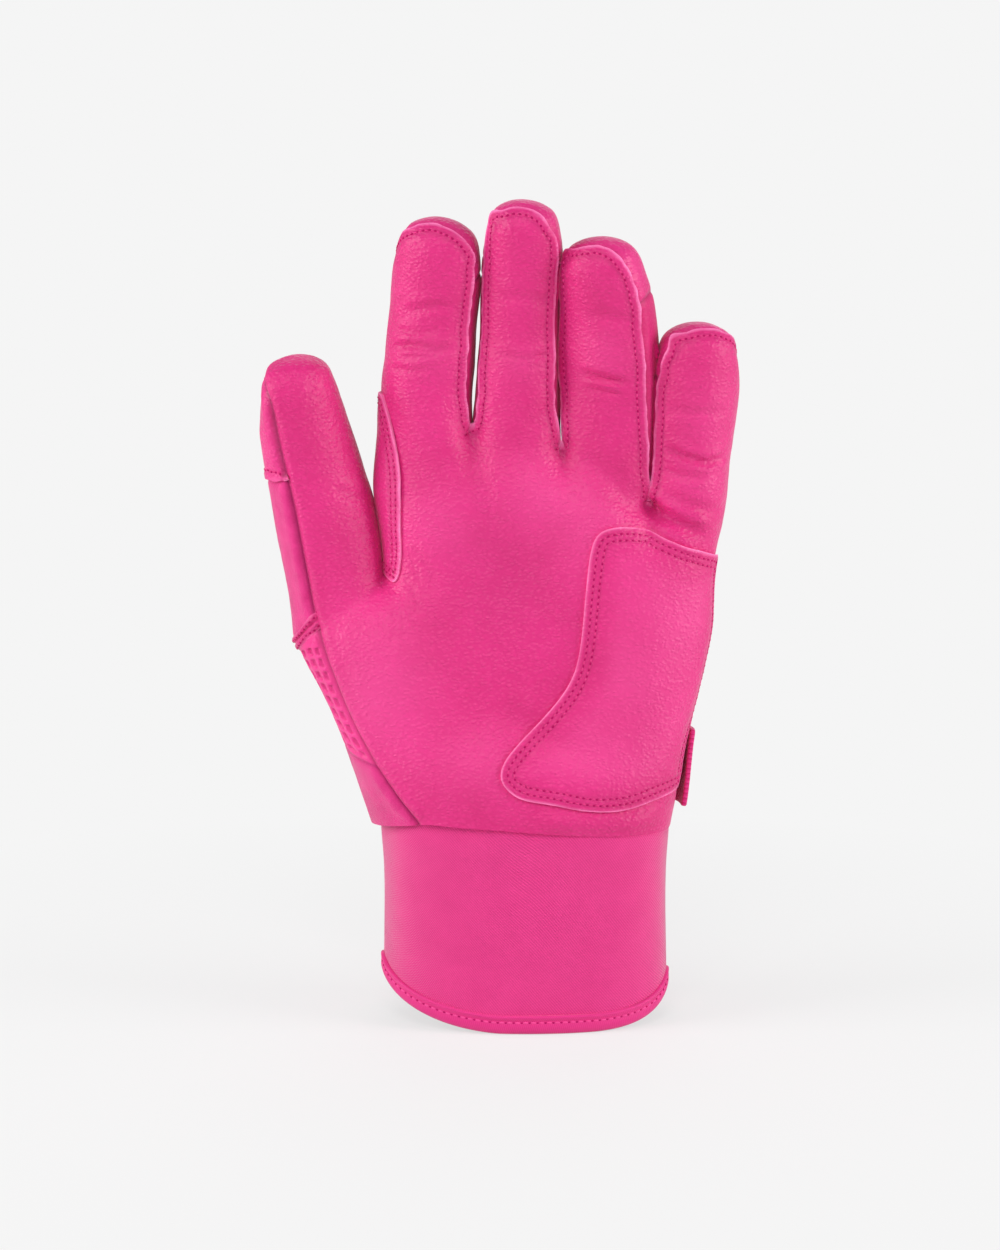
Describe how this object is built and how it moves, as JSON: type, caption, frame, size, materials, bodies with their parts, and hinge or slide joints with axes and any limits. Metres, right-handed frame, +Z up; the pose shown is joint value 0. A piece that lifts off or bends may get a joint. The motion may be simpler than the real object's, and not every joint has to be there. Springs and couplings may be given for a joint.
{
  "type": "batting glove",
  "caption": "Left-hand batting glove in soft leather with a stretch cuff, lapped palm patches, stitched finger stalls that flex at the knuckles and a wrist strap that swings open",
  "frame": {"origin": "middle of the wrist opening, in the flat plane of the cuff hem", "axes": "+Z up from the cuff to the fingertips, -Y out of the palm, +Y out of the back of the hand, -X to the thumb side"},
  "size_m": [0.1405, 0.0602, 0.2491],
  "materials": {
    "palm_leather": "fine grained soft leather, low sheen",
    "back_leather": "fine grained soft leather, low sheen",
    "gusset_leather": "soft leather strips between the fingers",
    "dimpled_leather": "leather embossed with small rectangular dimples",
    "suede": "matt napped suede cloth",
    "stretch_cloth": "matt stretch knit",
    "cuff_cloth": "fine twill-faced stretch sleeve",
    "hem_tape": "woven binding tape",
    "strap_web": "leather-faced strap",
    "loop_pile": "brushed loop pile",
    "hook_tape": "moulded hook tape",
    "pull_tab": "smooth flexible moulded tab"
  },
  "bodies": {
    "hand": {"palm_leather": "palm_leather", "heel_patch": "palm_leather", "thumb_crotch_patch": "palm_leather", "back_leather": "back_leather", "thumb_band": "back_leather", "dimpled_side_panel": "dimpled_leather", "wrist_side_panel": "suede", "cuff_sleeve": "cuff_cloth", "cuff_hem_tape": "hem_tape", "wrist_gusset": "stretch_cloth", "strap_anchor": "strap_web", "loop_patch": "loop_pile", "index_knuckle_panel": "stretch_cloth", "middle_knuckle_panel": "stretch_cloth", "ring_knuckle_panel": "stretch_cloth", "little_knuckle_panel": "stretch_cloth"},
    "index_finger": {"index_front": "palm_leather", "index_back": "back_leather", "index_outer_side_gusset": "gusset_leather"},
    "middle_finger": {"middle_front": "palm_leather", "middle_back": "back_leather", "middle_thumb_side_gusset": "gusset_leather", "middle_outer_side_gusset": "gusset_leather"},
    "ring_finger": {"ring_front": "palm_leather", "ring_back": "back_leather", "ring_thumb_side_gusset": "gusset_leather", "ring_outer_side_gusset": "gusset_leather"},
    "little_finger": {"little_front": "palm_leather", "little_back": "back_leather", "little_thumb_side_gusset": "gusset_leather"},
    "thumb": {"thumb_front": "palm_leather", "thumb_lower_back": "suede", "thumb_tip_back": "back_leather"},
    "strap": {"wrist_strap": "strap_web", "hook_patch": "hook_tape", "strap_pull_tab": "pull_tab"}
  },
  "joints": [
    {"name": "index_flex", "type": "hinge", "parent": "hand", "child": "index_finger", "pos_m": [-0.029, -0.0132, 0.1842], "axis": [1, 0, 0], "range_deg": [0, 70], "deforming": ["index_knuckle_panel"]},
    {"name": "middle_flex", "type": "hinge", "parent": "hand", "child": "middle_finger", "pos_m": [-0.00215, -0.0132, 0.1759], "axis": [1, 0, 0], "range_deg": [0, 70], "deforming": ["middle_knuckle_panel"]},
    {"name": "ring_flex", "type": "hinge", "parent": "hand", "child": "ring_finger", "pos_m": [0.0241, -0.0132, 0.1649], "axis": [1, 0, 0], "range_deg": [0, 70], "deforming": ["ring_knuckle_panel"]},
    {"name": "little_flex", "type": "hinge", "parent": "hand", "child": "little_finger", "pos_m": [0.0482, -0.0132, 0.1537], "axis": [1, 0, 0], "range_deg": [0, 70], "deforming": ["little_knuckle_panel"]},
    {"name": "thumb_flex", "type": "hinge", "parent": "hand", "child": "thumb", "pos_m": [-0.055, -0.0132, 0.1249], "axis": [0.8, 0, 0.6], "range_deg": [0, 40]},
    {"name": "strap_swing", "type": "hinge", "parent": "hand", "child": "strap", "pos_m": [0.0383, 0.02175, 0.0715], "axis": [0.02, 0.14, -0.99], "range_deg": [0, 120]}
  ]
}
